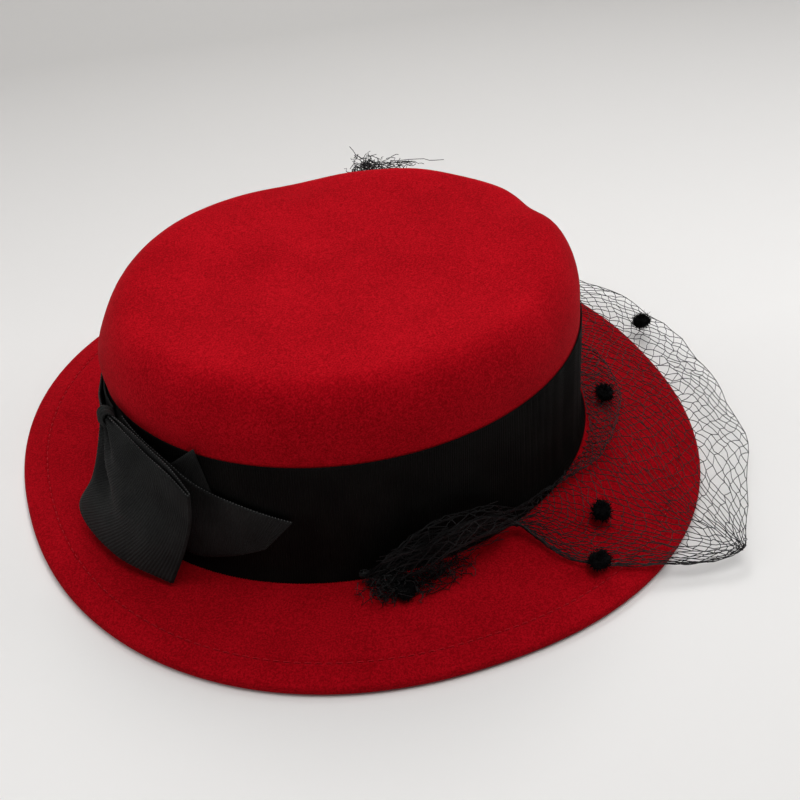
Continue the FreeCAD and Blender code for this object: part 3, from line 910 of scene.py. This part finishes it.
def make_net():
    """The whole veil: one diamond net of knotted threads, gathered, spread and frayed."""
    half = CELL / 2
    columns = int((NEAR_LENGTH + SPREAD_LENGTH + FAR_LENGTH) / half)
    rows = CELLS_ACROSS * 2
    i, j = np.meshgrid(np.arange(columns + 1), np.arange(rows + 1), indexing="ij")
    slack = rng.normal(size=(columns + 1, rows + 1, 2)) * 0.22
    nodes = net_point((i + slack[..., 0]) * half, np.clip((j + slack[..., 1]) / rows, 0, 1))
    nodes = settle(nodes + rng.normal(size=nodes.shape) * 0.28)
    paths = []
    for step in (1, -1):
        keep = ((i + j) % 2 == 0) & (i < columns) & (j + step >= 0) & (j + step <= rows)
        start, end = nodes[i[keep], j[keep]], nodes[i[keep] + 1, j[keep] + step]
        middle = settle((start + end) / 2 + rng.normal(size=start.shape) * 0.22)
        paths.append(np.stack([start, middle, end], 1))
    for row in (0, rows):
        edge_i = np.arange(row % 2, columns - 1, 2)
        start, end = nodes[edge_i, row], nodes[edge_i + 2, row]
        paths.append(np.stack([start, (start + end) / 2, end], 1))
    paths = np.concatenate(paths)
    longest = np.linalg.norm(paths[:, 2] - paths[:, 0], axis=1) < 16
    batches = [tube_batch(paths[longest], THREAD), bead_batch(nodes[(i + j) % 2 == 0], NET_KNOT)]
    frays = [loose_threads(64, (-22, -88, 12), (3, 2, 2), (-11, -94, 10.5), (8, 3, 1.5), 1.3, 20),
             loose_threads(34, (-2, -90, 14), (6, 2, 3), (5, -92, 10.5), (9, 3, 1.5), 1.3, 20),
             loose_threads(34, (-18, -90, 19), (5, 2, 4), (26, -88, 25), (7, 2, 5), 0.9),
             loose_threads(44, (26, 85, 14.5), (1.5, 1, 1.5), (46, 97, 22), (6, 3, 6), 0.7),
             loose_threads(30, (44, 99, 74), (4, 3, 3), (43, 100, 79), (6, 4, 2), 1.1, 16),
             loose_threads(18, (46, 98, 76), (4, 3, 1.5), (63, 92, 79), (6, 3, 1.2), 0.8)]
    for fray in frays:
        batches.append(tube_batch(fray, THREAD * 0.9))
    net = join_batches("veil_diamond_net", batches)
    dress(net, "veil_net", NET_THREAD, "veil_net", "veil_gather_near", "veil_gather_far")
    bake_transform(net)


DOT_HALF = np.array([4.0, 3.3, 2.4])         # half-lengths of a dot's tufted body
DOT_FIBRES = 620


def make_dots():
    """Chenille dots: a tufted body and hundreds of short pile fibres."""
    turns = (20, 75, 55, 8, 40, 100, 130, 160)
    rows, columns = 14, 22
    for number, yaw in enumerate(turns, start=1):
        low, high = (np.array(corner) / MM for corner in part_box("chenille_dot_%d" % number))
        centre = (low + high) / 2
        tilt = np.linspace(-math.pi / 2, math.pi / 2, rows + 2)[1:-1, None]
        turn = np.linspace(0, math.tau, columns, endpoint=False)[None, :]
        unit = np.stack([np.cos(tilt) * np.cos(turn), np.cos(tilt) * np.sin(turn),
                         np.sin(tilt) * np.ones_like(turn)], -1)
        boxy = unit / (np.sum(np.abs(unit) ** 3.2, axis=-1, keepdims=True) ** (1 / 3.2))
        body = boxy * DOT_HALF * (1 + rng.normal(size=boxy.shape[:2] + (1,)) * 0.05)
        angle = math.radians(yaw)
        turned = np.array([(math.cos(angle), math.sin(angle), 0), (-math.sin(angle), math.cos(angle), 0),
                           (0, 0, 1)])
        skin = body @ turned + centre
        points = np.concatenate([skin.reshape(-1, 3), [skin[0].mean(0)], [skin[-1].mean(0)]])
        faces = grid_faces(rows, columns, wrap_columns=True)
        for j in range(columns):
            j2 = (j + 1) % columns
            faces.append((j, j2, rows * columns))
            faces.append(((rows - 1) * columns + j2, (rows - 1) * columns + j, rows * columns + 1))
        pick_i, pick_j = rng.integers(0, rows, DOT_FIBRES), rng.integers(0, columns, DOT_FIBRES)
        root_spot = skin[pick_i, pick_j] + rng.normal(size=(DOT_FIBRES, 3)) * 0.25
        lean = (boxy[pick_i, pick_j] @ turned) + rng.normal(size=(DOT_FIBRES, 3)) * 0.45
        reach = rng.uniform(0.4, 1.1, (DOT_FIBRES, 1))
        fibres = np.stack([root_spot, root_spot + lean * reach * 0.55,
                           root_spot + lean * reach + rng.normal(size=(DOT_FIBRES, 3)) * 0.2], 1)
        pile = tube_batch(fibres, np.array([0.13, 0.10, 0.04]), 3)
        dot = join_batches("chenille_pompon_%d" % number, [(points, faces), pile])
        dress(dot, "chenille", CHENILLE, "chenille_dot_%d" % number)
        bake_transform(dot)


# ------------------------------------------------------------------ stage, light and camera

def make_stage():
    """A pale floor that turns up into a backdrop, with painted shade darkening it towards the back."""
    depth = [(-1.6, 0.0), (0.55, 0.0)]
    depth += [(0.55 + 0.35 * math.sin(a), 0.35 * (1 - math.cos(a))) for a in np.linspace(0.15, 1.45, 9)]
    depth += [(0.91, 1.6)]
    points = [(x / MM, y / MM, z / MM) for y, z in depth for x in (-2.5, 2.5)]
    floor = new_object("studio_floor", points, [face[::-1] for face in grid_faces(len(depth), 2)])
    mat, nodes, links, shader = material("studio_paper_painted_falloff", (0.80, 0.79, 0.78), 0.85)
    parts = nodes.new("ShaderNodeSeparateXYZ")
    links.new(nodes.new("ShaderNodeTexCoord").outputs["Object"], parts.inputs["Vector"])
    # Painted shade: the paper darkens from the front of the floor to the back and up the backdrop, standing
    # in for the light falling off.
    tone = ramp(nodes, links, parts.outputs["Y"], [(0.02, (0.80, 0.79, 0.78)), (0.45, (0.44, 0.43, 0.42))])
    links.new(tone.outputs["Color"], shader.inputs["Base Color"])
    floor.data.materials.append(mat)


def area_light(name, place, aim, size, power, colour):
    """A square soft light aimed at a point."""
    data = bpy.data.lights.new(name, "AREA")
    data.shape = "SQUARE"
    data.size = size
    data.energy = power
    data.color = colour
    lamp = bpy.data.objects.new(name, data)
    lamp.location = place
    lamp.rotation_euler = (Vector(aim) - Vector(place)).to_track_quat("-Z", "Y").to_euler()
    bpy.context.scene.collection.objects.link(lamp)


def make_lights():
    """Soft daylight from above and from a window behind, weaker from both sides."""
    area_light("ceiling", (0.05, -0.2, 1.6), (0, 0, 0.05), 1.0, 13.5, (1.0, 0.995, 0.985))
    area_light("window", (0.20, 0.75, 1.0), (0, 0, 0.02), 0.5, 6, (1.0, 1.0, 1.0))
    area_light("left_wall", (-1.4, 0.2, 0.9), (0, 0, 0.05), 0.9, 5.5, (1.0, 1.0, 1.0))
    area_light("right_wall", (1.4, 0.0, 0.9), (0, 0, 0.05), 0.9, 6.5, (1.0, 1.0, 1.0))
    world = bpy.data.worlds.new("room")
    world.use_nodes = True
    world.node_tree.nodes["Background"].inputs[0].default_value = (0.95, 0.96, 0.98, 1)
    world.node_tree.nodes["Background"].inputs[1].default_value = 0.13
    bpy.context.scene.world = world
    bpy.context.scene.view_settings.view_transform = "Standard"


def make_camera():
    """The camera looks down at the hat from its near left side."""
    azimuth, elevation, roll = math.radians(-23.514), math.radians(40.078), math.radians(2.051)
    back = Vector((math.sin(azimuth) * math.cos(elevation),
                   -math.cos(azimuth) * math.cos(elevation), math.sin(elevation)))
    right = Vector((math.cos(azimuth), math.sin(azimuth), 0))
    up = back.cross(right)
    aim = Vector((0.01028, -0.02477, 0.040))
    turned = right * math.cos(roll) + up * math.sin(roll)
    upright = back.cross(turned)
    data = bpy.data.cameras.new("camera")
    data.sensor_width = 36
    data.lens = 49.74
    data.clip_start = 0.01
    camera = bpy.data.objects.new("camera", data)
    turn = Matrix((turned, upright, back)).transposed().to_4x4()
    camera.matrix_world = Matrix.Translation(aim + back * 0.4497) @ turn
    bpy.context.scene.collection.objects.link(camera)
    bpy.context.scene.camera = camera


make_camera()
make_stage()
make_lights()
make_crown()
make_brim()
make_band()
make_head_ribbon()
make_near_loop()
make_far_loop()
make_knot()
make_tails()
make_edge_stitches()
make_hidden_trim()
make_tacks()
make_net()
make_dots()
